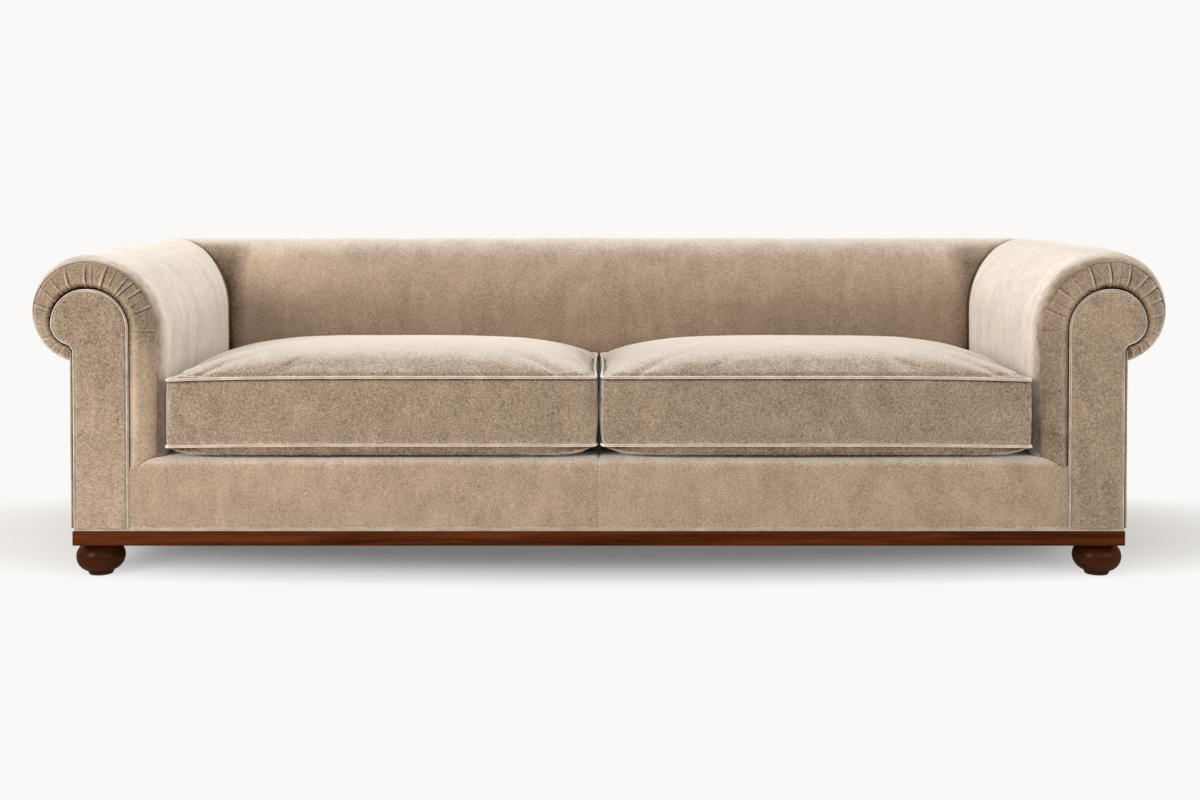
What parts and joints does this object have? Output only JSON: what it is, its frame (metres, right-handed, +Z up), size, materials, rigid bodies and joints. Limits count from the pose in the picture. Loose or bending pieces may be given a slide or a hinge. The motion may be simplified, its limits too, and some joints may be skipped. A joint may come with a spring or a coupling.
{
  "type": "chesterfield sofa",
  "caption": "Long untufted chesterfield sofa with rolled arms and back, loose box cushions, dark wooden plinth and bun feet.",
  "frame": {"origin": "on the floor under the middle of the plan", "axes": "+X along the sofa to the sitter's left, -Y out of the front, +Z up"},
  "size_m": [2.4378, 0.9449, 0.69],
  "materials": {
    "velvet": "matte",
    "piping": "matte",
    "dark_wood": "satin",
    "frame_wood": "matte",
    "plywood": "matte",
    "fibreboard": "matte",
    "foam": "matte",
    "spring_steel": "satin",
    "zinc": "satin",
    "glide": "matte",
    "dust_cloth": "matte",
    "zip_tape": "matte",
    "zip_brass": "satin"
  },
  "bodies": {
    "root": {"foot_front_left": "dark_wood", "foot_front_right": "dark_wood", "foot_rear_left": "dark_wood", "foot_rear_right": "dark_wood", "foot_glides": "glide", "foot_bolts": "zinc", "foot_tee_nuts": "zinc", "plinth_front": "dark_wood", "plinth_back": "dark_wood", "plinth_left": "dark_wood", "plinth_right": "dark_wood", "front_rail": "frame_wood", "back_rail": "frame_wood", "side_rails": "frame_wood", "centre_rails": "frame_wood", "corner_blocks": "frame_wood", "scroll_boards_left": "plywood", "scroll_boards_right": "plywood", "arm_top_rails": "frame_wood", "back_ribs": "plywood", "back_top_rail": "frame_wood", "arm_board_left": "fibreboard", "arm_board_right": "fibreboard", "back_board": "fibreboard", "seat_springs": "spring_steel", "spring_clips": "zinc", "spring_ties": "spring_steel", "deck_pad": "foam", "deck_cover": "velvet", "arm_pad_left": "foam", "arm_pad_right": "foam", "back_pad": "foam", "front_rail_pad": "foam", "arm_cover_left": "velvet", "arm_cover_right": "velvet", "back_cover": "velvet", "arm_ruche_left": "velvet", "arm_ruche_right": "velvet", "arm_facing_left": "velvet", "arm_facing_right": "velvet", "facing_piping_left": "piping", "facing_piping_right": "piping", "outside_arm_cover_left": "velvet", "outside_arm_cover_right": "velvet", "outside_back_cover": "velvet", "front_rail_cover_left": "velvet", "front_rail_cover_right": "velvet", "base_piping": "piping", "dust_cover": "dust_cloth"},
    "seat_cushion_left": {"cushion_cover_left": "velvet", "cushion_core_left": "foam", "cushion_piping_left": "piping", "cushion_zip_left": "zip_tape"},
    "seat_cushion_right": {"cushion_cover_right": "velvet", "cushion_core_right": "foam", "cushion_piping_right": "piping", "cushion_zip_right": "zip_tape"},
    "zip_slider_left": {"zip_slider_left": "zip_brass"},
    "zip_slider_right": {"zip_slider_right": "zip_brass"}
  },
  "joints": [
    {"name": "seat_cushion_left_lift", "type": "slide", "parent": "root", "child": "seat_cushion_left", "axis": [0, 0, 1], "range_m": [0, 0.45]},
    {"name": "seat_cushion_right_lift", "type": "slide", "parent": "root", "child": "seat_cushion_right", "axis": [0, 0, 1], "range_m": [0, 0.45]},
    {"name": "zip_slider_left_run", "type": "slide", "parent": "seat_cushion_left", "child": "zip_slider_left", "axis": [1, 0, 0], "range_m": [0, 0.74]},
    {"name": "zip_slider_right_run", "type": "slide", "parent": "seat_cushion_right", "child": "zip_slider_right", "axis": [1, 0, 0], "range_m": [0, 0.74]}
  ]
}
